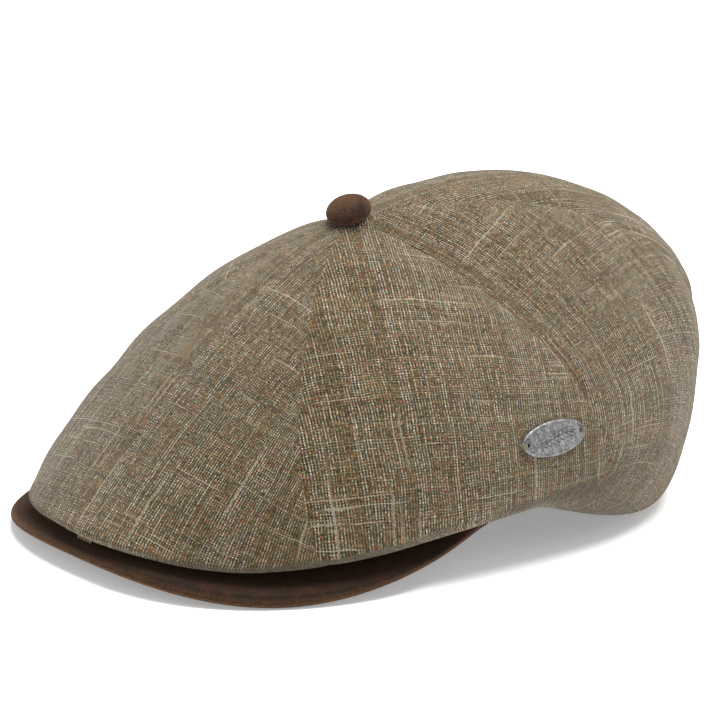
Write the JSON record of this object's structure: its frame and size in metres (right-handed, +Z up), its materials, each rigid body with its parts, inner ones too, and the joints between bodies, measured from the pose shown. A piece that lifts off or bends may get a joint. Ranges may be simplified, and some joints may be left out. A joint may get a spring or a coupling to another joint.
{
  "type": "newsboy cap",
  "caption": "Soft cap with a gored cloth crown pulled forward over a stiffened suede visor, a covered button on top, an oval badge at the side, a lining and a sweatband.",
  "frame": {"origin": "middle of the cap's bounding box at the level of the table it stands on", "axes": "+Z up from the table; the visor points along -Y and the back of the cap along +Y; +X is the wearer's left"},
  "size_m": [0.182, 0.2835, 0.1212],
  "materials": {
    "linen": "coarse slubbed linen weave",
    "lining": "satin",
    "interlining": "matt felt",
    "thread": "matt",
    "board": "matt",
    "suede": "napped suede",
    "sweatband": "ribbed cotton",
    "label": "woven satin",
    "button_metal": "satin",
    "pewter": "antique brushed"
  },
  "bodies": {
    "root": {"crown_panel_front": "linen", "crown_panel_front_left": "linen", "crown_panel_rear_left": "linen", "crown_panel_back": "linen", "crown_panel_rear_right": "linen", "crown_panel_front_right": "linen", "lining_panel_front": "lining", "lining_panel_front_left": "lining", "lining_panel_rear_left": "lining", "lining_panel_back": "lining", "lining_panel_rear_right": "lining", "lining_panel_front_right": "lining", "front_interlining": "interlining", "front_tack": "thread", "visor_board": "board", "visor_top_cover": "suede", "visor_under_cover": "suede", "sweatband": "sweatband", "sweatband_stitches": "thread", "size_label": "label", "care_label": "label", "button_cover": "suede", "button_shell": "button_metal", "button_back_plate": "button_metal", "button_rivet": "button_metal", "button_washer": "button_metal", "badge_plate": "pewter", "badge_threads": "thread"}
  },
  "joints": []
}
